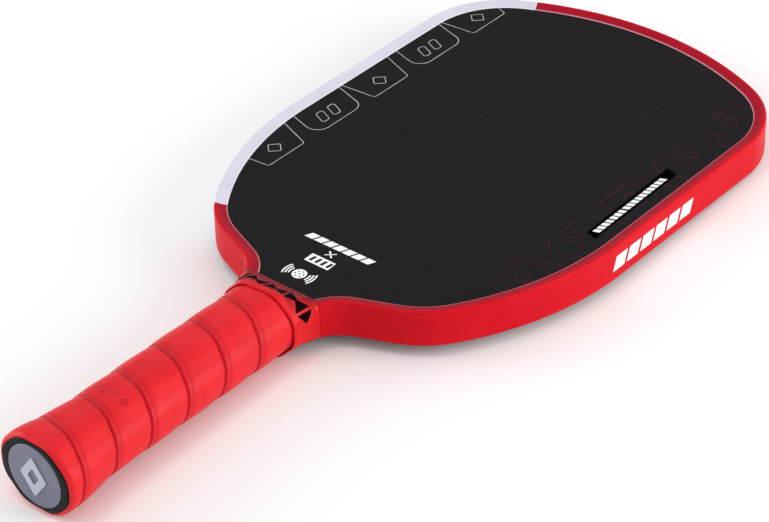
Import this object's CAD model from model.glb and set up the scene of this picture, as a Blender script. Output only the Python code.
"""The finish of the pickleball paddle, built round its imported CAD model.

Shapes are drawn in millimetres in the head's frame, as in the CAD: X across the paddle, Y from the butt
to the head with 0 at the widest stretch of the head, Z from the mid-plane between the faces.
"""

import math
import bmesh
import bpy
from mathutils import Matrix, Vector
from mathutils.bvhtree import BVHTree


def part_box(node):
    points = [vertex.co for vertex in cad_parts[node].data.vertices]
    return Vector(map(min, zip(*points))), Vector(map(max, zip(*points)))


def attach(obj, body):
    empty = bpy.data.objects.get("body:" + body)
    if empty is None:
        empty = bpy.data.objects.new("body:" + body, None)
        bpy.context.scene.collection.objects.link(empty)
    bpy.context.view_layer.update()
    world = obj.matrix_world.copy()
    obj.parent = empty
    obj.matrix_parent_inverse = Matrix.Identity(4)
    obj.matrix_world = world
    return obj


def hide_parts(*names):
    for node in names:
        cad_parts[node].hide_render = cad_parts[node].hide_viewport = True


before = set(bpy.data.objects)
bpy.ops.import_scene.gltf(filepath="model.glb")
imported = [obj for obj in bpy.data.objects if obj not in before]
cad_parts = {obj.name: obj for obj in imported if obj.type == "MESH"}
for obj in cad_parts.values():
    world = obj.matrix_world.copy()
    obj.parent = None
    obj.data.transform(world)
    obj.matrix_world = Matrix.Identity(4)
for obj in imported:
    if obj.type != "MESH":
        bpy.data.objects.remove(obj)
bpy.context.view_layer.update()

MM = 0.001

# Sizes that the CAD model uses too.
LIP_CORNERS = [
    (0.0, 153.8, 145.0),
    (87.0, 110.75, 40.5),
    (87.6, -57.6, 138.0),
    (56.55, -103.0, 39.0),
    (12.5, -121.1, -26.8),
]
LIP_TOP_Y = 137.02
SHEET_UNDER_GUARD = 3.5
GUARD_WIDTH = 6.05
GUARD_CREST = 8.95
GUARD_CREST_RADIUS = 1.15
NECK_HALF_WIDTH = 12.5
COLLAR_END_Y = -129.2
COLLAR_START_Y = -145.2
GUARD_END_Y = COLLAR_END_Y + 0.12
BUTT_Y = -276.7
BADGE_FACE_Y = -276.1
CAP_FACE_Y = -275.9
HANDLE_HALF_WIDTH = 18.25
HEIGHT_RATIO = 0.872
SIDE_RATIO = 0.33
FLAT_RATIO = 0.45
BADGE_RADIUS = 14.5
LOWER_CUT = Vector((-64.0, -98.0))
UPPER_CUT = Vector((-60.5, 128.5))
ARC_SAG = 0.004

face_low, face_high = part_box("front_face_sheet")
back_low, back_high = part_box("back_face_sheet")
FACE_Z = (face_high.z - back_low.z) / 2 / MM
HEAD_CENTRE_Y = face_high.y - (LIP_TOP_Y + SHEET_UNDER_GUARD) * MM
ORIGIN = Vector((0.0, HEAD_CENTRE_Y, (face_high.z + back_low.z) / 2))
TO_FRAME = Matrix.Translation(ORIGIN) @ Matrix.Diagonal((MM, MM, MM, 1.0))

INK = 0.012  # thickness of a print above the surface it is on
INK_ROOT = 0.03  # and how deep it is sunk into it


# Materials ------------------------------


class Paint:
    """A node-based material on the object's own coordinates, built up one layer at a time."""

    def __init__(self, name, roughness, metallic=0.0, specular=0.5):
        self.name = name
        self.material = bpy.data.materials.new(name)
        self.material.use_nodes = True
        self.nodes = self.material.node_tree.nodes
        self.links = self.material.node_tree.links
        self.shader = self.nodes["Principled BSDF"]
        self.shader.inputs["Roughness"].default_value = roughness
        self.shader.inputs["Metallic"].default_value = metallic
        self.shader.inputs["Specular IOR Level"].default_value = specular
        self.place = self.nodes.new("ShaderNodeTexCoord").outputs["Object"]
        self.bump = None
        self.base = None

    def noise(self, size_mm, detail=3.0, stretch=(1.0, 1.0, 1.0)):
        """Noise with features of about that size."""
        mapping = self.nodes.new("ShaderNodeMapping")
        mapping.inputs["Scale"].default_value = stretch
        self.links.new(self.place, mapping.inputs["Vector"])
        noise = self.nodes.new("ShaderNodeTexNoise")
        noise.inputs["Scale"].default_value = 1.0 / (size_mm * MM)
        noise.inputs["Detail"].default_value = detail
        self.links.new(mapping.outputs["Vector"], noise.inputs["Vector"])
        return noise.outputs["Fac"]

    def threads(self, pitch_mm, direction):
        """Parallel ridges across one axis."""
        wave = self.nodes.new("ShaderNodeTexWave")
        wave.wave_type = "BANDS"
        wave.bands_direction = direction
        wave.inputs["Scale"].default_value = math.pi / 10.0 / (pitch_mm * MM)
        wave.inputs["Distortion"].default_value = 0.6
        wave.inputs["Detail"].default_value = 1.0
        self.links.new(self.place, wave.inputs["Vector"])
        return wave.outputs["Fac"]

    def blend(self, a, b, kind="MULTIPLY"):
        math_node = self.nodes.new("ShaderNodeMath")
        math_node.operation = kind
        self.links.new(a, math_node.inputs[0])
        self.links.new(b, math_node.inputs[1])
        return math_node.outputs["Value"]

    def spread(self, source, low, high):
        """A factor around the middle of its range, mapped from low to high."""
        reach = self.nodes.new("ShaderNodeMapRange")
        reach.inputs["From Min"].default_value = 0.3
        reach.inputs["From Max"].default_value = 0.7
        reach.inputs["To Min"].default_value = low
        reach.inputs["To Max"].default_value = high
        self.links.new(source, reach.inputs["Value"])
        return reach.outputs["Result"]

    def colour(self, factor, dark, light):
        """The base colour, mottled between two tones by a factor from 0 to 1."""
        mix = self.nodes.new("ShaderNodeMix")
        mix.data_type = "RGBA"
        mix.inputs["A"].default_value = (*dark, 1.0)
        mix.inputs["B"].default_value = (*light, 1.0)
        self.links.new(factor, mix.inputs["Factor"])
        self.base = mix.outputs["Result"]
        self.links.new(self.base, self.shader.inputs["Base Color"])
        return self

    def stain(self, attribute, tone):
        """Another colour over the base, as far as the mesh's own attribute says."""
        amount = self.nodes.new("ShaderNodeAttribute")
        amount.attribute_name = attribute
        mix = self.nodes.new("ShaderNodeMix")
        mix.data_type = "RGBA"
        mix.inputs["B"].default_value = (*tone, 1.0)
        self.links.new(self.base, mix.inputs["A"])
        self.links.new(amount.outputs["Fac"], mix.inputs["Factor"])
        self.base = mix.outputs["Result"]
        self.links.new(self.base, self.shader.inputs["Base Color"])
        return self

    def rough(self, source, low, high):
        self.links.new(self.spread(source, low, high), self.shader.inputs["Roughness"])
        return self

    def relief(self, source, depth_mm):
        """A bump of about that depth, over the bumps that are there already."""
        bump = self.nodes.new("ShaderNodeBump")
        bump.inputs["Strength"].default_value = 1.0
        bump.inputs["Distance"].default_value = depth_mm * MM
        self.links.new(source, bump.inputs["Height"])
        if self.bump:
            self.links.new(self.bump, bump.inputs["Normal"])
        self.bump = bump.outputs["Normal"]
        self.links.new(self.bump, self.shader.inputs["Normal"])
        return self


def mottled(name, dark, light, roughness, metallic=0.0, specular=0.5, blotch=14.0, grain=0.5, depth=0.01):
    """Moulded plastic, rubber or foam: soft blotches of tone and a fine grain."""
    paint = Paint(name, roughness, metallic, specular)
    blotches = paint.noise(blotch)
    paint.colour(paint.spread(blotches, 0.0, 1.0), dark, light)
    paint.rough(paint.noise(blotch / 3.0), roughness - 0.04, roughness + 0.04)
    paint.relief(paint.noise(grain, 2.0), depth)
    return paint


def carbon_material():
    """Peel-ply carbon: a crossed imprint of fine threads under a matt, faintly blotched black."""
    paint = Paint("carbon_face", 0.6, specular=0.05)
    weave = paint.blend(paint.threads(0.9, "X"), paint.threads(0.9, "Y"))
    tone = paint.blend(paint.noise(9.0), paint.noise(0.7, 4.0), "ADD")
    halved = paint.nodes.new("ShaderNodeMath")
    halved.operation = "MULTIPLY"
    halved.inputs[1].default_value = 0.5
    paint.links.new(tone, halved.inputs[0])
    paint.colour(
        paint.spread(halved.outputs["Value"], 0.0, 1.0), (0.0085, 0.0075, 0.0085), (0.013, 0.0115, 0.013)
    )
    paint.rough(paint.noise(1.2, 4.0), 0.52, 0.68)
    paint.relief(weave, 0.02)
    paint.relief(paint.noise(0.45, 3.0), 0.025)
    return paint


def honeycomb_material():
    """Natural polypropylene, which lets a little light through."""
    paint = mottled("honeycomb", (0.5, 0.5, 0.45), (0.68, 0.68, 0.64), 0.5, blotch=8.0, grain=0.8, depth=0.03)
    paint.shader.inputs["Transmission Weight"].default_value = 0.15
    return paint


def brushed_metal(name, dark, light, roughness, stretch):
    """Metal with fine lines drawn along one axis."""
    paint = Paint(name, roughness, 1.0)
    lines = paint.noise(0.25, 3.0, stretch)
    paint.colour(paint.spread(lines, 0.0, 1.0), dark, light)
    paint.rough(lines, roughness - 0.08, roughness + 0.08)
    paint.relief(lines, 0.004)
    return paint


def wound_tape_material():
    """Black vinyl tape, with the fine lines of its winding."""
    paint = mottled("tape_black", (0.02, 0.02, 0.02), (0.04, 0.04, 0.042), 0.42, grain=0.9, depth=0.02)
    paint.relief(paint.threads(1.1, "Y"), 0.02)
    return paint


PAINT_LIST = [
    carbon_material(),
    mottled("label_black", (0.001,) * 3, (0.002,) * 3, 0.6, specular=0.0),
    mottled("ink_white", (0.8,) * 3, (0.9,) * 3, 0.45, blotch=5.0),
    mottled("ink_grey", (0.3, 0.3, 0.31), (0.48, 0.48, 0.49), 0.5, blotch=6.0),
    mottled("ink_dark_red", (0.03, 0.006, 0.007), (0.07, 0.009, 0.009), 0.55, specular=0.1, blotch=9.0),
    mottled("ink_black", (0.004, 0.001, 0.001), (0.008, 0.001, 0.002), 0.6, specular=0.02, blotch=4.0),
    mottled("ink_deep_red", (0.5, 0.006, 0.016), (0.56, 0.009, 0.02), 0.5, specular=0.2, blotch=4.0),
    mottled("guard_red", (0.52, 0.004, 0.011), (0.57, 0.006, 0.015), 0.42, specular=0.06),
    mottled("guard_white", (0.58, 0.57, 0.67), (0.64, 0.63, 0.72), 0.38, specular=0.35),
    mottled("grip_red", (0.62, 0.011, 0.018), (0.69, 0.015, 0.023), 0.42, 0.0, 0.14, 10.0, 0.7, 0.02),
    mottled("collar_red", (0.58, 0.005, 0.01), (0.64, 0.008, 0.014), 0.4, specular=0.16, blotch=8.0),
    mottled("cap_black", (0.004,) * 3, (0.008,) * 3, 0.5, specular=0.12, grain=0.35, depth=0.015),
    mottled("badge_grey", (0.135, 0.142, 0.2), (0.155, 0.162, 0.225), 0.35, 0.25, 0.5, 5.0, 0.3, 0.004),
    mottled("emblem_silver", (0.4, 0.43, 0.52), (0.46, 0.49, 0.58), 0.35, 0.3, 0.5, 4.0, 0.3, 0.004),
    honeycomb_material(),
    mottled("white_foam", (0.66, 0.65, 0.6), (0.8, 0.79, 0.75), 0.85, 0.0, 0.2, 5.0, 1.1, 0.12),
    mottled("pallet_foam", (0.28, 0.26, 0.23), (0.4, 0.38, 0.34), 0.8, 0.0, 0.2, 6.0, 0.9, 0.1),
    mottled("tag_film", (0.62, 0.6, 0.5), (0.76, 0.74, 0.66), 0.3, blotch=4.0, grain=0.4, depth=0.006),
    brushed_metal("copper", (0.62, 0.27, 0.12), (0.78, 0.4, 0.22), 0.35, (1.0, 1.0, 1.0)),
    mottled("chip_black", (0.012,) * 3, (0.028,) * 3, 0.45, blotch=0.8, grain=0.15),
    wound_tape_material(),
    brushed_metal("steel", (0.5, 0.5, 0.52), (0.68, 0.68, 0.7), 0.3, (0.15, 1.0, 1.0)),
    mottled("floor_pale", (0.9,) * 3, (0.92,) * 3, 0.9, specular=0.1, blotch=400.0, grain=3.0),
]
PAINTS = {paint.name: paint for paint in PAINT_LIST}
PAINTS["guard_red"].stain("thin", (0.26, 0.004, 0.02)).stain("lip", (0.76, 0.46, 0.5))
PAINTS["guard_white"].stain("lip", (0.86, 0.85, 0.88))
PAINTS["grip_red"].stain("seam", (0.42, 0.002, 0.01))
PAINTS["collar_red"].stain("rim", (0.15, 0.003, 0.01))


# Mesh building --------------------------


def add_piece(name, mesh, paint, replaced=()):
    """Puts a mesh drawn in head millimetres on the paddle, as one named piece."""
    mesh.name = name
    mesh.transform(TO_FRAME)
    mesh.materials.clear()
    mesh.materials.append(PAINTS[paint].material)
    mesh.shade_smooth()
    mesh.set_sharp_from_angle(angle=math.radians(35.0))
    piece = bpy.data.objects.new(name, mesh)
    bpy.context.scene.collection.objects.link(piece)
    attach(piece, "root")
    if replaced:
        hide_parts(*replaced)
    return piece


def mesh_from(bm):
    bmesh.ops.recalc_face_normals(bm, faces=bm.faces)
    mesh = bpy.data.meshes.new("mesh")
    bm.to_mesh(mesh)
    bm.free()
    return mesh


def slab(outlines, low_z, high_z):
    """Flat shapes of one thickness. An outline inside another is a hole in it."""
    curve = bpy.data.curves.new("outline", "CURVE")
    curve.dimensions = "2D"
    curve.fill_mode = "BOTH"
    curve.extrude = (high_z - low_z) / 2
    for outline in outlines:
        spline = curve.splines.new("POLY")
        spline.points.add(len(outline) - 1)
        for point, place in zip(spline.points, outline):
            point.co = (place.x, place.y, 0.0, 1.0)
        spline.use_cyclic_u = True
    holder = bpy.data.objects.new("outline", curve)
    bpy.context.scene.collection.objects.link(holder)
    bpy.context.view_layer.update()
    mesh = bpy.data.meshes.new_from_object(holder.evaluated_get(bpy.context.evaluated_depsgraph_get()))
    bpy.data.objects.remove(holder, do_unlink=True)
    bm = bmesh.new()
    bm.from_mesh(mesh)
    bmesh.ops.remove_doubles(bm, verts=bm.verts, dist=0.0005)
    bmesh.ops.translate(bm, vec=(0.0, 0.0, (low_z + high_z) / 2), verts=bm.verts)
    return mesh_from(bm)


def join(meshes):
    bm = bmesh.new()
    for mesh in meshes:
        bm.from_mesh(mesh)
    return mesh_from(bm)


def loft(rings, closed=False, capped=True):
    """Skins rings of equal length. A closed loft joins the last ring to the first, as in a tube's wall."""
    bm = bmesh.new()
    rows = [[bm.verts.new(point) for point in ring] for ring in rings]
    pairs = list(zip(rows, rows[1:]))
    if closed:
        pairs.append((rows[-1], rows[0]))
    for row, following in pairs:
        for i in range(len(row)):
            j = (i + 1) % len(row)
            bm.faces.new((row[i], row[j], following[j], following[i]))
    if capped and not closed:
        bm.faces.new(rows[0])
        bm.faces.new(rows[-1])
    return mesh_from(bm)


def mark(mesh, attribute, values):
    """Stores one value from 0 to 1 for each of a mesh's points."""
    layer = mesh.attributes.new(attribute, "FLOAT", "POINT")
    layer.data.foreach_set("value", values)


def surface_of(mesh):
    """A mesh's surface, for laying prints on it."""
    places = [vert.co for vert in mesh.vertices]
    return BVHTree.FromPolygons(places, [face.vertices for face in mesh.polygons])


def laid_print(surface, rays, lift=0.03, sink=0.12):
    """A thin closed patch on a surface. Each ray is a start and a direction that runs into the surface."""
    rings = []
    for row in rays:
        under, over = [], []
        for start, direction in row:
            place, normal, _, _ = surface.ray_cast(start, direction)
            if normal.dot(direction) > 0.0:
                normal = -normal
            under.append(place - normal * sink)
            over.append(place + normal * lift)
        rings.append(under + over[::-1])
    return loft(rings)


# Outlines -------------------------------


def rounded(before, corner, after, radius, count=None):
    """The arc that rounds one corner of a polygon, from one tangent point to the other."""
    to_before = (before - corner).normalized()
    to_after = (after - corner).normalized()
    turn = math.pi - to_before.angle(to_after)
    reach = radius * math.tan(turn / 2)
    start = corner + to_before * reach
    centre = corner + (to_before + to_after).normalized() * (radius / math.cos(turn / 2))
    if count is None:
        step = 2 * math.acos(1.0 - ARC_SAG / radius)
        count = max(3, math.ceil(turn / step) + 1)
    side = 1.0 if to_before.cross(to_after) < 0.0 else -1.0
    arm = start - centre
    points = []
    for i in range(count):
        angle = side * turn * i / (count - 1)
        cos, sin = math.cos(angle), math.sin(angle)
        points.append(centre + Vector((arm.x * cos - arm.y * sin, arm.x * sin + arm.y * cos)))
    return points


def turned(radius, degrees):
    """The point at that distance and angle from the origin."""
    angle = math.radians(degrees)
    return Vector((radius * math.cos(angle), radius * math.sin(angle)))


def direction_at(path, i):
    """The direction of an open path at one of its points."""
    return (path[min(i + 1, len(path) - 1)] - path[max(i - 1, 0)]).normalized()


def inside(point, outline, margin):
    """Whether a point is inside a closed outline and at least margin away from its edge."""
    crossings = 0
    nearest = math.inf
    for start, end in zip(outline, outline[1:] + outline[:1]):
        along = end - start
        share = max(0.0, min(1.0, (point - start).dot(along) / max(along.length_squared, 1e-9)))
        nearest = min(nearest, (start + along * share - point).length)
        if (start.y > point.y) != (end.y > point.y):
            if point.x < start.x + (point.y - start.y) / along.y * along.x:
                crossings += 1
    return crossings % 2 == 1 and nearest > margin


def offset_corners(outward, neck_half_width):
    """The lip line's corners moved outward, with the neck held at its own half width."""
    places = [Vector(corner[:2]) for corner in LIP_CORNERS]
    edges = []
    for start, end in zip(places, places[1:]):
        along = (end - start).normalized()
        edges.append((start + Vector((-along.y, along.x)) * outward, along))
    start, along = edges[0]
    moved = [start - along * (start.x / along.x)]
    for (start, along), (other, direction) in zip(edges, edges[1:]):
        step = (other - start).cross(direction) / along.cross(direction)
        moved.append(start + along * step)
    start, along = edges[-1]
    moved.append(start + along * ((neck_half_width - start.x) / along.x))
    radii = [corner[2] + outward for corner in LIP_CORNERS]
    return moved, radii


def rounded_half(corners, radii, end, top_steps, count=None):
    """The right half of a line with rounded corners, from the top's centre to its end."""
    mirror_of_second = Vector((-corners[1].x, corners[1].y))
    half = rounded(mirror_of_second, corners[0], corners[1], radii[0], 2 * top_steps + 1)[top_steps:]
    ring = corners + [end]
    for i in range(1, len(corners)):
        half += rounded(ring[i - 1], ring[i], ring[i + 1], abs(radii[i]), count)
    return half + [end]


def head_half(outward, neck_half_width, end_y):
    """The right half of a line round the head, from the top's centre down the neck."""
    corners, radii = offset_corners(outward, neck_half_width)
    return rounded_half(corners, radii, Vector((neck_half_width, end_y)), 60)


def mirrored(half):
    """A whole line from its right half, running from the neck's left side round to its right."""
    return [Vector((-point.x, point.y)) for point in reversed(half) if point.x > 1e-6] + half


def polygon(*corners):
    return [Vector(corner) for corner in corners]


def smooth_loop(corners, radius):
    """A closed outline with every corner rounded."""
    places = polygon(*corners)
    points = []
    for i, place in enumerate(places):
        points += rounded(places[i - 1], place, places[(i + 1) % len(places)], radius, 9)
    return points


def octagon(half_width, half_height, side, flat, corner, arc_points=9, side_points=11):
    """Points once round a rounded octagon, in X and Z, starting below +X and turning towards +Z."""
    corners = []
    for sign_x, sign_z, first_is_side in ((1, -1, False), (1, 1, True), (-1, 1, False), (-1, -1, True)):
        at_side = Vector((sign_x * half_width, sign_z * side))
        at_flat = Vector((sign_x * flat, sign_z * half_height))
        corners += [at_side, at_flat] if first_is_side else [at_flat, at_side]
    arcs = []
    for i, place in enumerate(corners):
        arcs.append(rounded(corners[i - 1], place, corners[(i + 1) % len(corners)], corner, arc_points))
    points = []
    for i, arc in enumerate(arcs):
        following = arcs[(i + 1) % len(arcs)][0]
        points += arc
        points += [arc[-1].lerp(following, k / (side_points + 1)) for k in range(1, side_points + 1)]
    return points


def handle_octagon(half_width, corner, **counts):
    """The handle's own octagon, at any size."""
    others = [half_width * ratio for ratio in (HEIGHT_RATIO, SIDE_RATIO, FLAT_RATIO)]
    return octagon(half_width, *others, corner, **counts)


def outward_directions(ring):
    """The outward direction at each point of a ring that turns from +X towards +Z."""
    directions = []
    for i in range(len(ring)):
        along = ring[(i + 1) % len(ring)] - ring[i - 1]
        directions.append(Vector((along.y, -along.x)).normalized())
    return directions


def across(ring, y):
    """A ring in X and Z, placed at y."""
    return [Vector((point.x, y, point.y)) for point in ring]


def table(stations, y):
    """A value read from (y, value) stations in order, with straight runs between them."""
    for (low, a), (high, b) in zip(stations, stations[1:]):
        if y <= high:
            share = max(0.0, (y - low) / (high - low))
            return a + (b - a) * share
    return stations[-1][1]


# The head -------------------------------


def guard_profile():
    """The guard's section, as points with four values each.

    They are the distance outside the lip line, the height above the mid-plane, how pale the lip's edge is
    there, and how much of the black sheet shows through the thin flange.
    """
    lip = FACE_Z + INK + 0.02
    wall = GUARD_WIDTH - 0.02
    upper = [
        (SHEET_UNDER_GUARD + 0.3, lip, 0.0, 0.0),
        (1.6, lip, 0.0, 0.0),
        (0.06, lip, 1.0, 0.0),
        (0.0, lip + 0.06, 1.0, 0.0),
        (0.0, lip + 0.24, 1.0, 0.0),
        (0.07, lip + 0.34, 0.6, 0.2),
        (0.22, lip + 0.4, 0.28, 0.6),
        (0.5, lip + 0.45, 0.12, 0.8),
        (0.8, lip + 0.5, 0.0, 0.8),
        (1.5, lip + 0.62, 0.0, 0.8),
        (2.5, lip + 0.85, 0.0, 0.75),
        (3.3, lip + 1.12, 0.0, 0.65),
        (3.9, lip + 1.35, 0.0, 0.5),
    ]
    radius = GUARD_CREST_RADIUS
    flange_end, wall_start = 118, 50  # degrees round the crest, between which the flange's tone fades out
    for degrees in range(flange_end, -1, -8):
        out, up = turned(radius, degrees)
        thin = max(0.0, 0.5 * (degrees - wall_start) / (flange_end - wall_start))
        upper.append((wall - radius + out, GUARD_CREST - radius + up, 0.0, thin))
    upper += [(wall, 6.2, 0.0, 0.0), (wall, 3.2, 0.0, 0.0), (wall, 1.0, 0.0, 0.0)]
    return upper + [(out, -height, pale, thin) for out, height, pale, thin in reversed(upper)]


def lip_path():
    """The lip line from the left of the neck, round the head, to the right of the neck."""
    half = head_half(0.0, NECK_HALF_WIDTH, BUTT_Y)
    kept = [place for place in half if place.y > GUARD_END_Y + 0.3]
    before, after = kept[-1], half[len(kept)]
    kept.append(before.lerp(after, (before.y - GUARD_END_Y) / (before.y - after.y)))
    return mirrored(kept)


def sweep_guard(path):
    """The guard's section carried along a stretch of the lip line."""
    profile = guard_profile()
    rings = []
    for i, place in enumerate(path):
        along = direction_at(path, i)
        out = Vector((-along.y, along.x))
        ring = []
        for width, height, _, _ in profile:
            point = place + out * width
            if point.y < GUARD_END_Y:
                point += along * ((GUARD_END_Y - point.y) / along.y)
            ring.append(Vector((point.x, point.y, height)))
        rings.append(ring)
    mesh = loft(rings)
    mark(mesh, "lip", [pale for _ in rings for _, _, pale, _ in profile])
    mark(mesh, "thin", [thin for _ in rings for _, _, _, thin in profile])
    return mesh


def make_guards():
    """The guard's three strips, which meet end to end at two straight cuts."""
    cut_gap = 0.04  # of the first step along the lip line, so that two strips don't share an end face
    path = lip_path()
    lower = min(range(len(path)), key=lambda i: (path[i] - LOWER_CUT).length)
    upper = min(range(len(path)), key=lambda i: (path[i] - UPPER_CUT).length)
    parts = (
        ("edge_guard_red_left_fine", path[: lower + 1], "guard_red", "edge_guard_red_left"),
        ("edge_guard_white_fine", path[lower : upper + 1], "guard_white", "edge_guard_white"),
        ("edge_guard_red_right_fine", path[upper:], "guard_red", "edge_guard_red_right"),
    )
    for name, stretch, paint, node in parts:
        stretch = list(stretch)
        if name != "edge_guard_red_left_fine":
            stretch[0] = stretch[0].lerp(stretch[1], cut_gap)
        add_piece(name, sweep_guard(stretch), paint, [node])


def core_outline():
    """The closed line just inside the foam ring, which crosses above the neck."""
    inset, shoulder_radius, bottom_y = 4.9, 19.0, -103.6
    corners, radii = offset_corners(-inset, NECK_HALF_WIDTH)
    radii[3] = shoulder_radius
    half = rounded_half(corners[:4], radii, Vector((0.0, bottom_y)), 15, 15)
    return half + [Vector((-point.x, point.y)) for point in reversed(half) if point.x > 1e-6]


def make_honeycomb():
    """The core at the real cell size: hexagonal cells right through a slab."""
    pitch, wall = 8.0, 0.7
    low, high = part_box("honeycomb_core")
    centre_y = ORIGIN.y / MM
    bottom, top = low.y / MM - centre_y, high.y / MM - centre_y
    outline = core_outline()
    holes = []
    radius = (pitch - wall) / math.sqrt(3.0)
    row_pitch = pitch * math.sqrt(3.0) / 2
    columns = math.ceil(high.x / MM / pitch)
    for row in range(math.floor(bottom / row_pitch), math.ceil(top / row_pitch)):
        for column in range(-columns, columns + 1):
            centre = Vector(((column + (row % 2) / 2) * pitch, row * row_pitch))
            if inside(centre, outline, radius + wall):
                holes.append([centre + turned(radius, 60.0 * k + 30.0) for k in range(6)])
    half = (high.z - low.z) / 2 / MM
    mesh = slab([outline] + holes, -half, half)
    add_piece("honeycomb_core_fine", mesh, "honeycomb", ["honeycomb_core"])


# Prints on the faces --------------------


def clipped(path, fence):
    """The stretches of a polyline that lie inside a closed outline."""
    step = 0.4
    fine = []
    for start, end in zip(path, path[1:]):
        steps = max(1, math.ceil((end - start).length / step))
        fine += [start.lerp(end, k / steps) for k in range(steps)]
    fine.append(path[-1])
    runs, run = [], []
    for place in fine:
        if inside(place, fence, 0.0):
            run.append(place)
        elif run:
            runs.append(run)
            run = []
    if run:
        runs.append(run)
    return [run for run in runs if len(run) > 3]


def stroke(path, width):
    """The outline of a line of that width along a path."""
    left, right = [], []
    for i, place in enumerate(path):
        along = direction_at(path, i)
        out = Vector((-along.y, along.x)) * (width / 2)
        left.append(place + out)
        right.append(place - out)
    return left + right[::-1]


def line_art(loops, fence, width):
    """Closed loops as thin printed lines, cut off where the guard covers them."""
    strokes = []
    for loop in loops:
        for run in clipped(loop + loop[:1], fence):
            strokes.append(stroke(run, width))
    return strokes


# The loops of the large shapes, which run on under the guard: corners measured from the shape's inner side,
# and the radius that rounds them.
PANEL = [
    ([(0.0, -16.5), (0.0, 16.0), (26.0, 24.0), (26.0, -8.5)], 6.5),
    ([(4.5, -6.5), (4.5, -2.0), (12.0, 1.5), (12.0, -3.0)], 1.2),
    ([(4.5, 1.5), (4.5, 6.0), (12.0, 9.5), (12.0, 5.0)], 1.2),
]
WEDGE = [
    ([(0.0, -12.0), (0.0, 12.5), (26.0, 22.5), (26.0, -14.0)], 1.6),
    ([(4.0, 1.0), (8.0, 5.0), (12.0, 1.0), (8.0, -3.0)], 0.4),
]


def big_shapes(side, inner, top_y, pitch):
    """Wedges with a diamond and panels with two slots, in turn down one side of the face."""
    loops = []
    for i in range(5):
        y = top_y - pitch * i
        for corners, radius in PANEL if i % 2 else WEDGE:
            loop = smooth_loop([(inner + out, y + up) for out, up in corners], radius)
            loops.append([Vector((side * point.x, point.y)) for point in loop])
    return loops


def bar_row(start, along, widths, height, gap, lean):
    """A row of leaning bars along a direction, which stand to the left of it."""
    along = Vector(along).normalized()
    up = Vector((-along.y, along.x)) * height + along * lean
    place = Vector(start)
    bars = []
    for width in widths:
        end = place + along * width
        bars.append([place, end, end + up, place + up])
        place = end + along * gap
    return bars


def radio_mark(x, y):
    """A dotted ball with three arcs on each side, which marks where the tag is read."""
    middle = Vector((x, y))
    ball = [middle + turned(3.4, 10.0 * k) for k in range(36)]
    dots = []
    for place in [middle] + [middle + turned(2.0, 60.0 * k + 15.0) for k in range(6)]:
        dots.append([place + turned(0.45, 36.0 * j) for j in range(10)])
    arcs = []
    for radius, reach in ((4.9, 24.0), (6.3, 27.0), (7.7, 29.0)):
        for side in (0.0, 180.0):
            arc = [middle + turned(radius, side + reach * (k / 10 - 1.0)) for k in range(21)]
            arcs.append(stroke(arc, 0.75))
    return [ball] + dots + arcs


def face_level(outlines, front, sink=INK_ROOT, top=INK):
    """Printed shapes as a thin layer on one of the faces."""
    if front:
        return slab(outlines, FACE_Z - sink, FACE_Z + top)
    return slab(outlines, -FACE_Z - top, sink - FACE_Z)


def make_line_prints(front):
    """The large outlined shapes: pale ones beside the white guard, dark red ones beside the red guard."""
    side = "front" if front else "back"
    fence = mirrored(head_half(1.2, NECK_HALF_WIDTH, -140.0))
    white_lines = line_art(big_shapes(-1, 68.4, 101.0, 37.4), fence, 0.42)
    add_piece(f"print_{side}_white_lines", face_level(white_lines, front), "ink_grey")
    red_lines = line_art(big_shapes(1, 66.8, 97.0, 39.3), fence, 0.45)
    add_piece(f"print_{side}_red_lines", face_level(red_lines, front), "ink_dark_red")


def make_label_print(front):
    """A slanted label near the right edge, with three groups of ticks along it."""
    side = "front" if front else "back"
    label = polygon((75.7, -15.0), (81.6, -16.8), (80.4, 46.5), (73.9, 48.2))
    mesh = face_level([label], front, top=INK + 0.006)
    add_piece(f"print_{side}_label", mesh, "label_black")
    along = label[2] - label[1]
    ticks = []
    for start, count in ((5.0, 4), (17.6, 3), (27.4, 10)):
        first = label[1].lerp(label[2], start / along.length) + Vector((-1.3, 0.0))
        ticks += bar_row(first, along, (2.3,) * count, 3.0, 0.8, -1.2)
    mesh = face_level(ticks, front, top=INK + 0.012)
    add_piece(f"print_{side}_label_ticks", mesh, "ink_white")


def make_centre_print(front):
    """The white marks in the middle: a row of bars, a cross, a box with slots, and the radio mark."""
    side = "front" if front else "back"
    title = bar_row((-19.2, -92.5), (1.0, 0.0), (4.3,) * 7, 3.85, 0.95, 1.7)
    box = polygon((-7.45, -106.4), (5.9, -106.4), (5.7, -100.5), (-7.45, -100.5))
    slots = bar_row((-5.9, -105.3), (1.0, 0.0), (1.5,) * 4, 3.7, 1.6, 0.5)
    cross = [
        stroke(polygon(start, end), width)
        for start, end, width in (
            ((-2.6, -94.8), (1.2, -98.5), 0.75),
            ((-2.7, -98.4), (-1.15, -97.05), 0.6),
            ((-0.2, -96.2), (1.35, -94.85), 0.6),
        )
    ]
    marks = title + [box] + slots + cross + radio_mark(-1.9, -115.7)
    add_piece(f"print_{side}_marks", face_level(marks, front), "ink_white")


# Print on the guard's outer wall --------

FAR_RIGHT_X = 120.0  # outside the guard, where the rays that lay its print start


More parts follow.
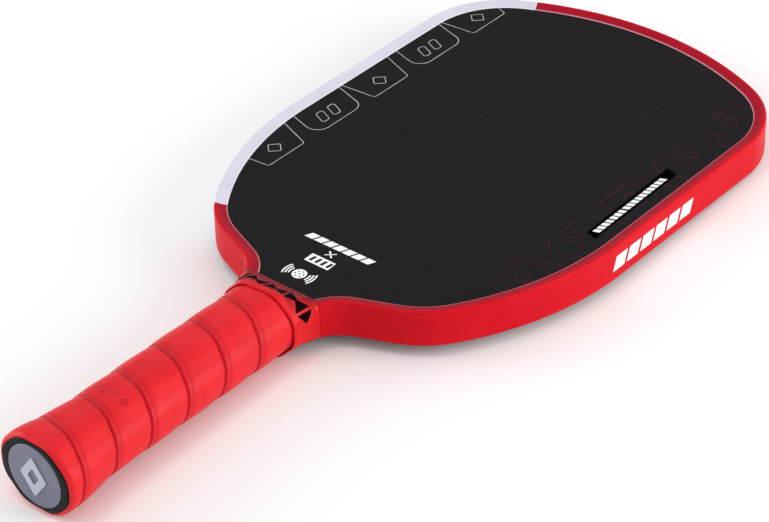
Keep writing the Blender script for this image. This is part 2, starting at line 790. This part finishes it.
def make_guard_print():
    """Leaning white bars on the right side's outer wall."""
    path = [place for place in lip_path() if place.x > 60.0 and place.y > -60.0]
    surface = surface_of(sweep_guard(path))
    first_y, width, gap, bars, columns = -19.6, 8.1, 1.9, 6, 10
    low_z, high_z, lean = -3.7, 3.2, 2.5
    left = Vector((-1.0, 0.0, 0.0))
    meshes = []
    for bar in range(bars):
        rays = []
        for column in range(columns + 1):
            y = first_y + bar * (width + gap) + width * column / columns
            row = []
            for share in (0.0, 0.5, 1.0):
                start = Vector((FAR_RIGHT_X, y + lean * share, low_z + (high_z - low_z) * share))
                row.append((start, left))
            rays.append(row)
        meshes.append(laid_print(surface, rays, 0.012, 0.05))
    add_piece("print_guard_bars", join(meshes), "ink_white")


# The grip -------------------------------

GRIP_START_Y = -273.6  # where the wrap's rounded butt edge begins
GRIP_END_Y = -143.4
GRIP_MIDDLE_Y = -200.0  # the wrap's two ends lie on either side of this
GRIP_CORNER = 12.0
WRAP_PITCH = 21.06
WRAP_LEAN = 1.4  # how far the hand-wound tape runs ahead of a true spiral across the top
SEAMS_ON_TOP = [-284.7, -263.6, -243.2, -222.9, -201.2, -179.0, -158.3, -137.2, -116.0]
GRIP_OUTSIDE = [
    (GRIP_START_Y, 20.75),
    (-272.0, 21.1),
    (-269.0, 20.95),
    (-266.0, 20.6),
    (-260.0, 19.7),
    (-254.0, 19.05),
    (-248.0, 18.5),
    (-242.0, HANDLE_HALF_WIDTH),
    (GRIP_END_Y, HANDLE_HALF_WIDTH),
]
SKIN = 0.55  # the tape's own relief is measured from this far inside the grip's outside
CLEAR_OF_HANDLE = 40.0  # distance from the handle's axis at which the rays that lay a print start
END_HEIGHT = 0.42  # the tape's height at both of its ends, where the seams fade out
# The tape's surface from one seam to the next: distance past the seam, height, and darkness.
TAPE = [
    (0.0, -0.36, 1.0),
    (0.16, -0.27, 1.0),
    (0.36, -0.06, 0.95),
    (0.6, 0.12, 0.7),
    (0.9, 0.22, 0.4),
    (1.4, 0.28, 0.28),
    (2.0, 0.3, 0.28),
    (2.5, 0.28, 0.4),
    (2.85, 0.19, 0.7),
    (3.1, 0.21, 0.5),
    (3.5, 0.32, 0.15),
    (4.4, 0.42, 0.0),
    (6.5, 0.47, 0.0),
    (9.0, 0.47, 0.0),
    (11.5, 0.44, 0.0),
    (14.0, 0.36, 0.0),
    (16.5, 0.24, 0.0),
    (18.5, 0.13, 0.0),
    (19.6, 0.06, 0.05),
    (20.2, -0.01, 0.25),
    (20.6, -0.11, 0.7),
    (20.85, -0.23, 1.0),
    (20.98, -0.33, 1.0),
]


def askew(x):
    """How much nearer the head the collar's edge, and the grip's end under it, are further to the right."""
    square_until_x, slope = -8.0, 0.08
    return slope * (max(x, square_until_x) - square_until_x)


def seam_y(turns):
    """Where the seam is after a number of turns, counted from the first seam on top."""
    i = min(max(math.floor(turns), 0), len(SEAMS_ON_TOP) - 2)
    return SEAMS_ON_TOP[i] + (SEAMS_ON_TOP[i + 1] - SEAMS_ON_TOP[i]) * (turns - i)


def lead(angle):
    """How far the tape is ahead of a true spiral at an angle: it climbs fast over the right side."""
    degrees = math.degrees(angle) % 360.0
    if degrees < 90.0:
        return WRAP_LEAN * math.sin(math.radians(degrees))
    return WRAP_LEAN * (0.5 + 0.5 * math.cos(math.radians((degrees - 90.0) / 270.0 * 180.0)))


def tape_grid():
    """The wound tape's surface as rows that run along its spiral, with each point's darkness."""
    unit = handle_octagon(1.0, GRIP_CORNER / HANDLE_HALF_WIDTH, arc_points=15, side_points=7)
    out = outward_directions(unit)
    count = len(unit)
    angles = []
    for point in unit:
        angle = math.atan2(point.y, point.x)
        angles.append(angle + 2 * math.pi if angles and angle < angles[-1] else angle)
    per_turn = len(TAPE)
    last_row = per_turn * (len(SEAMS_ON_TOP) - 1) - 1
    butt_fade, head_fade, ripple_height = 1.5, 3.5, 0.03

    bm = bmesh.new()
    darkness = bm.verts.layers.float.new("seam")
    grid = {}

    def vertex(column, row):
        if column == count:
            column, row = 0, row + per_turn
        row = min(max(row, 0), last_row)
        if (column, row) not in grid:
            past, height, dark = TAPE[row % per_turn]
            turns = row // per_turn + past / WRAP_PITCH + (angles[column] - math.pi / 2) / (2 * math.pi)
            end_y = GRIP_END_Y + askew(unit[column].x * HANDLE_HALF_WIDTH)
            y = min(max(seam_y(turns) + lead(angles[column]), GRIP_START_Y), end_y)
            fade = min(1.0, (y - GRIP_START_Y) / butt_fade, (end_y - y) / head_fade)
            ripple = ripple_height * math.sin(angles[column] * 3.0 + y * 0.21)
            height = (height + ripple) * fade + END_HEIGHT * (1.0 - fade)
            flat = unit[column] * (table(GRIP_OUTSIDE, y) - SKIN) + out[column] * height
            grid[column, row] = bm.verts.new((flat.x, y, flat.y))
            grid[column, row][darkness] = dark * fade
        return grid[column, row]

    for column in range(count):
        for row in range(-per_turn, last_row):
            corners = (
                vertex(column, row),
                vertex(column + 1, row),
                vertex(column + 1, row + 1),
                vertex(column, row + 1),
            )
            corners = list(dict.fromkeys(corners))
            if len(corners) > 2:
                bm.faces.new(corners)
    return bm


# From each end of the tape's surface round the edge and into the bore: y and half width.
GRIP_BUTT_STAGES = [
    (-274.2, 20.4), (-274.7, 19.95), (-275.05, 19.5), (-275.3, 19.0), (-275.3, 18.7),
    (-272.0, 19.4), (-266.0, 18.7), (-260.0, 17.9), (-252.0, 17.2),
]
GRIP_HEAD_STAGES = [(-143.2, 18.0), (-143.2, 17.4), (-150.0, 17.0)]


def make_grip():
    """The wound grip: its tape's surface, closed by rounded ends and a bore."""
    bm = tape_grid()
    merged = 0.002  # points closer than this are one point, where the tape's rows run together at its ends
    bmesh.ops.remove_doubles(bm, verts=bm.verts, dist=merged)
    bmesh.ops.dissolve_degenerate(bm, dist=merged, edges=bm.edges)
    open_edges = [edge for edge in bm.edges if edge.is_boundary]
    butt_end = [edge for edge in open_edges if edge.verts[0].co.y < GRIP_MIDDLE_Y]
    head_end = [edge for edge in open_edges if edge.verts[0].co.y > GRIP_MIDDLE_Y]
    for edges, width, stages in (
        (butt_end, GRIP_OUTSIDE[0][1], GRIP_BUTT_STAGES),
        (head_end, HANDLE_HALF_WIDTH, GRIP_HEAD_STAGES),
    ):
        for y, new_width in stages:
            made = bmesh.ops.extrude_edge_only(bm, edges=edges)["geom"]
            for vert in [item for item in made if isinstance(item, bmesh.types.BMVert)]:
                x, z = vert.co.x * new_width / width, vert.co.z * new_width / width
                vert.co = Vector((x, y + (askew(x) if y > GRIP_MIDDLE_Y else 0.0), z))
            edges = [item for item in made if isinstance(item, bmesh.types.BMEdge)]
            width = new_width
    bmesh.ops.bridge_loops(bm, edges=[edge for edge in bm.edges if edge.is_boundary])
    mesh = mesh_from(bm)
    surface = surface_of(mesh)
    piece = add_piece("grip_wrap_wound", mesh, "grip_red", ["grip_wrap"])
    return surface


def make_grip_mark(surface):
    """Three leaning bars and a diamond, pressed into the tape on the front flat."""
    down = Vector((0.0, 0.0, -1.0))
    shapes = bar_row((-7.4, -236.4), (1.0, 0.06), (2.4,) * 3, 5.6, 1.5, 2.2)
    shapes.append(polygon((6.2, -233.2), (8.4, -236.0), (10.6, -232.8), (8.4, -230.0)))
    meshes = []
    columns, steps = 6, 8
    for a, b, c, d in shapes:
        rays = []
        for i in range(columns + 1):
            low, high = a.lerp(b, i / columns), d.lerp(c, i / columns)
            row = [low.lerp(high, j / steps) for j in range(steps + 1)]
            rays.append([(Vector((*place, CLEAR_OF_HANDLE)), down) for place in row])
        meshes.append(laid_print(surface, rays, 0.012, 0.1))
    add_piece("print_grip_mark", join(meshes), "ink_deep_red")


# The collar -----------------------------

# Sections along the collar: y, half width, half height, upright side, flat top, corner radius.
COLLAR_OUTSIDE = [
    (COLLAR_START_Y, 18.9, 16.55, 6.3, 8.6, 9.0),
    (-145.0, 19.1, 16.75, 6.3, 8.65, 9.0),
    (-144.5, 19.28, 16.92, 6.4, 8.8, 9.0),
    (-143.7, 19.42, 16.95, 6.45, 9.0, 9.0),
    (-142.9, 19.46, 16.75, 6.5, 9.3, 8.6),
    (-142.2, 19.42, 16.3, 6.6, 9.7, 8.2),
    (-141.6, 19.35, 15.8, 6.7, 10.0, 8.0),
    (-141.2, 19.3, 15.48, 6.7, 10.2, 7.8),
    (-138.0, 19.65, 14.0, 6.95, 12.0, 6.0),
    (-135.0, 20.1, 12.65, 7.2, 14.0, 4.6),
    (-132.3, 20.6, 11.45, 7.4, 15.9, 3.4),
    (-132.05, 20.7, 11.42, 7.4, 16.1, 3.3),
    (-131.8, 20.98, 11.62, 7.45, 16.3, 3.2),
    (-131.3, 21.12, 11.52, 7.5, 16.6, 3.1),
    (-129.7, 21.25, 10.75, 7.6, 17.7, 3.0),
    (-129.35, 21.2, 10.5, 7.6, 17.8, 2.8),
    (COLLAR_END_Y, 21.0, 10.3, 7.55, 17.8, 2.6),
]
COLLAR_INSIDE = [
    (COLLAR_END_Y, 20.3, 9.5, 7.4, 17.4, 2.0),
    (-142.6, 18.6, 15.9, 6.4, 9.0, 7.0),
    (-143.0, 18.55, 16.2, 6.3, 8.5, 9.5),
    (COLLAR_START_Y, 18.5, 16.15, 6.25, 8.5, 9.5),
]


RIM_START_Y = -131.5  # the dark rim is on the head's side of this
SLOPE_START_Y = -140.5  # and the slope, a little lighter, between this and the rim
RIM_DARKNESS, SLOPE_DARKNESS = 1.0, 0.75


def collar_ring(station):
    """One section of the collar. Its butt end is askew, and the slope evens that out."""
    y, half_width, half_height, side, flat, corner = station
    ring = octagon(half_width, half_height, side, flat, corner, arc_points=11, side_points=9)
    square_from_y, run = -134.0, 8.0
    reach = min(1.0, max(0.0, (square_from_y - y) / run))
    return [Vector((point.x, y + reach * askew(point.x), point.y)) for point in ring]


def make_collar():
    """The rubber collar: a soft roll over the grip's end, a slope, and a raised rim at the head."""
    stations = COLLAR_OUTSIDE + COLLAR_INSIDE
    mesh = loft([collar_ring(station) for station in stations], closed=True)
    per_ring = len(mesh.vertices) // len(stations)
    shade = []
    for i, vert in enumerate(mesh.vertices):
        _, _, half_height, side, _, _ = stations[i // per_ring]
        facing = min(1.0, max(0.0, (abs(vert.co.z) - side) / (half_height - side)))
        darkness = 0.0
        if i // per_ring < len(COLLAR_OUTSIDE) and vert.co.y > SLOPE_START_Y:
            darkness = RIM_DARKNESS if vert.co.y > RIM_START_Y else SLOPE_DARKNESS
        shade.append(darkness * facing)
    mark(mesh, "rim", shade)
    surface = surface_of(mesh)
    add_piece("rubber_collar_fine", mesh, "collar_red", ["rubber_collar"])
    return surface


def angles_along(surface, y):
    """Round a surface at one y: the distance from the middle of the top, against the angle there."""
    angles = [math.radians(degrees) for degrees in range(180, -1, -1)]
    places = []
    for angle in angles:
        outward = Vector((math.cos(angle), 0.0, math.sin(angle)))
        start = Vector((0.0, y, 0.0)) + outward * CLEAR_OF_HANDLE
        places.append(surface.ray_cast(start, -outward)[0])
    distances = [0.0]
    for a, b in zip(places, places[1:]):
        distances.append(distances[-1] + (b - a).length)
    top = distances[90]
    return [(distance - top, angle) for distance, angle in zip(distances, angles)]


def make_collar_print(surface):
    """Pairs of dark triangles, base to base, in a row over the slope on the front and back."""
    middle_y, half_height, blunt = -136.25, 3.55, 0.14
    row_start, pair_pitch, length, second_start = -29.7, 11.1, 4.9, 6.2
    columns, steps = 14, 12
    angle_at = angles_along(surface, middle_y)
    triangles = []
    for face, pairs in ((1.0, 5), (-1.0, 4)):
        for pair in range(pairs):
            first = row_start + pair * pair_pitch
            triangles += [(face, first, True), (face, first + second_start, False)]
    meshes = []
    for face, first, grows in triangles:
        rays = []
        for i in range(columns + 1):
            share = i / columns
            angle = table(angle_at, first + length * share)
            outward = Vector((math.cos(angle), 0.0, math.sin(angle) * face))
            half = half_height * (blunt + (1.0 - blunt) * (share if grows else 1.0 - share))
            row = []
            for j in range(steps + 1):
                axis = Vector((0.0, middle_y + half * (2 * j / steps - 1.0), 0.0))
                row.append((axis + outward * CLEAR_OF_HANDLE, -outward))
            rays.append(row)
        meshes.append(laid_print(surface, rays, 0.03, 0.15))
    add_piece("print_collar_triangles", join(meshes), "ink_black")


# The butt -------------------------------


def circle_like(ring, radius):
    """A circle with a point in the direction of each of a ring's points."""
    return [point.normalized() * radius for point in ring]


def make_cap():
    """The cap: a cup over the handle's end with a round seat for the badge in its face."""
    inner = 15.5
    seat_y = CAP_FACE_Y + 1.4
    counts = {"arc_points": 11, "side_points": 7}
    face = handle_octagon(18.2, 9.0, **counts)
    seat_radius = BADGE_RADIUS + 0.18
    rings = [across(circle_like(face, 6.0), seat_y), across(circle_like(face, seat_radius), seat_y)]
    rings.append(across(circle_like(face, seat_radius), CAP_FACE_Y + 0.12))
    rings.append(across(circle_like(face, seat_radius + 0.12), CAP_FACE_Y))
    for y, width, corner in (
        (CAP_FACE_Y, 17.75, 8.8),
        (CAP_FACE_Y + 0.05, 17.98, 8.9),
        (CAP_FACE_Y + 0.18, 18.15, 9.0),
        (CAP_FACE_Y + 0.4, 18.22, 9.0),
        (-272.0, 19.0, 7.0),
        (-266.0, 18.3, 5.0),
        (-260.0, 17.5, 2.4),
        (-252.6, 16.8, 2.4),
        (-252.3, 16.5, 2.4),
        (-252.3, inner + 0.2, 0.6),
        (-252.5, inner, 0.6),
        (-272.6, inner, 0.6),
    ):
        rings.append(across(handle_octagon(width, corner, **counts), y))
    add_piece("butt_cap_fine", loft(rings), "cap_black", ["butt_cap"])


def make_badge():
    """The round badge, with a rolled edge and a face that is very slightly domed."""
    ring = [turned(1.0, 3.0 * k) for k in range(120)]
    rings = []
    for radius, y in (
        (BADGE_RADIUS, CAP_FACE_Y + 1.1),
        (BADGE_RADIUS, BADGE_FACE_Y + 0.32),
        (BADGE_RADIUS - 0.04, BADGE_FACE_Y + 0.2),
        (BADGE_RADIUS - 0.15, BADGE_FACE_Y + 0.09),
        (BADGE_RADIUS - 0.32, BADGE_FACE_Y + 0.03),
        (BADGE_RADIUS - 0.55, BADGE_FACE_Y),
        (BADGE_RADIUS - 1.5, BADGE_FACE_Y - 0.01),
        (8.0, BADGE_FACE_Y - 0.03),
        (2.0, BADGE_FACE_Y - 0.04),
    ):
        rings.append(across([point * radius for point in ring], y))
    add_piece("butt_badge_fine", loft(rings), "badge_grey", ["butt_badge"])


def make_emblem():
    """The raised emblem: a plain diamond frame with softened edges."""
    outer = smooth_loop([(0.0, 9.8), (7.2, 0.0), (0.0, -9.8), (-7.2, 0.0)], 0.6)
    inner = smooth_loop([(0.0, 4.2), (3.1, 0.0), (0.0, -4.2), (-3.1, 0.0)], 0.6)
    mesh = slab([outer, inner], 0.0, BADGE_FACE_Y - BUTT_Y)
    upright = Matrix.Rotation(math.radians(90.0), 4, "X")
    mesh.transform(Matrix.Translation((0.0, BADGE_FACE_Y + 0.02, 0.0)) @ upright)
    piece = add_piece("badge_emblem_fine", mesh, "emblem_silver", ["badge_emblem"])
    bevel = piece.modifiers.new("edge", "BEVEL")
    bevel.width = 0.12 * MM
    bevel.segments = 2
    bevel.limit_method = "ANGLE"


# CAD nodes that keep their shape --------


def paint_cad_nodes():
    """New materials for the sheets and the inner pieces, whose CAD solids stay."""
    kept = {
        "front_face_sheet": "carbon_face",
        "back_face_sheet": "carbon_face",
        "perimeter_foam": "white_foam",
        "handle_core": "white_foam",
        "handle_pallet_front": "pallet_foam",
        "handle_pallet_back": "pallet_foam",
        "nfc_film": "tag_film",
        "nfc_antenna": "copper",
        "nfc_chip": "chip_black",
        "cap_staple_front": "steel",
        "cap_staple_back": "steel",
        "grip_end_tape": "tape_black",
    }
    for node, paint in kept.items():
        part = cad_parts[node]
        for slot in part.material_slots:
            slot.material = PAINTS[paint].material


# Studio ---------------------------------

AZIMUTH = math.radians(40.44)
ELEVATION = math.radians(34.947)
ROLL = math.radians(-1.308)
DISTANCE = 1262.9
RIGHT_SHIFT = 39.2  # how far right of the picture's middle the head's centre is
UP_SHIFT = 40.14  # and how far above it


def direction_to(azimuth, elevation):
    """The direction from the paddle to a camera or light at those angles."""
    level = math.cos(elevation)
    return Vector((math.sin(azimuth) * level, -math.cos(azimuth) * level, math.sin(elevation)))


def make_camera():
    """The camera at the photo's angle."""
    back = direction_to(AZIMUTH, ELEVATION)
    level = Vector((0.0, 0.0, 1.0)).cross(back).normalized()
    upright = back.cross(level)
    right = level * math.cos(ROLL) + upright * math.sin(ROLL)
    up = upright * math.cos(ROLL) - level * math.sin(ROLL)
    camera = bpy.data.objects.new("camera", bpy.data.cameras.new("camera"))
    camera.data.lens = 130.52
    camera.data.sensor_width = 36.0
    camera.data.clip_end = 20.0
    eye = ORIGIN + (back * DISTANCE - right * RIGHT_SHIFT - up * UP_SHIFT) * MM
    turn = Matrix((right, up, back)).transposed().to_4x4()
    camera.matrix_world = Matrix.Translation(eye) @ turn
    bpy.context.scene.collection.objects.link(camera)
    bpy.context.scene.camera = camera


def make_floor():
    """A pale floor that touches the paddle where it would rest: the grip's flare and the head's far end."""
    bm = bmesh.new()
    bmesh.ops.create_grid(bm, x_segments=1, y_segments=1, size=60.0)  # metres: it reaches the horizon
    floor = bpy.data.objects.new("floor", mesh_from(bm))
    flare_y, flare_half_width = GRIP_OUTSIDE[1]
    crest_y = LIP_TOP_Y + 5.0
    gap = 0.2
    butt_low = ORIGIN.z - flare_half_width * HEIGHT_RATIO * MM
    head_low = ORIGIN.z - GUARD_CREST * MM
    butt_y = ORIGIN.y + flare_y * MM
    head_y = ORIGIN.y + crest_y * MM
    slope = math.atan2(head_low - butt_low, head_y - butt_y)
    floor.rotation_euler = (slope, 0.0, 0.0)
    floor.location = (0.0, butt_y, butt_low - gap * MM)
    floor.data.materials.append(PAINTS["floor_pale"].material)
    bpy.context.scene.collection.objects.link(floor)


def add_light(name, azimuth, elevation, distance, size, energy):
    """A square area light that faces the paddle."""
    light = bpy.data.lights.new(name, "AREA")
    light.size = size
    light.energy = energy
    holder = bpy.data.objects.new(name, light)
    away = direction_to(math.radians(azimuth), math.radians(elevation))
    holder.location = away * distance
    holder.rotation_euler = away.to_track_quat("Z", "Y").to_euler()
    bpy.context.scene.collection.objects.link(holder)


def make_lights():
    """A white surround and three soft lights."""
    world = bpy.data.worlds.new("studio")
    world.use_nodes = True
    world.node_tree.nodes["Background"].inputs["Color"].default_value = (1.0, 1.0, 1.0, 1.0)
    world.node_tree.nodes["Background"].inputs["Strength"].default_value = 0.76
    bpy.context.scene.world = world
    bpy.context.scene.view_settings.view_transform = "Standard"
    add_light("key", 110.0, 16.0, 1.3, 0.9, 13.0)
    add_light("fill", -62.0, 16.0, 1.6, 0.9, 11.0)
    add_light("overhead", -20.0, 72.0, 1.6, 0.5, 3.0)


make_guards()
make_honeycomb()
# The back's prints are the front's mirror image, so the pale shapes meet the white guard there too.
for is_front in (True, False):
    make_line_prints(is_front)
    make_label_print(is_front)
    make_centre_print(is_front)
make_guard_print()
make_grip_mark(make_grip())
make_collar_print(make_collar())
make_cap()
make_badge()
make_emblem()
paint_cad_nodes()
make_camera()
make_floor()
make_lights()
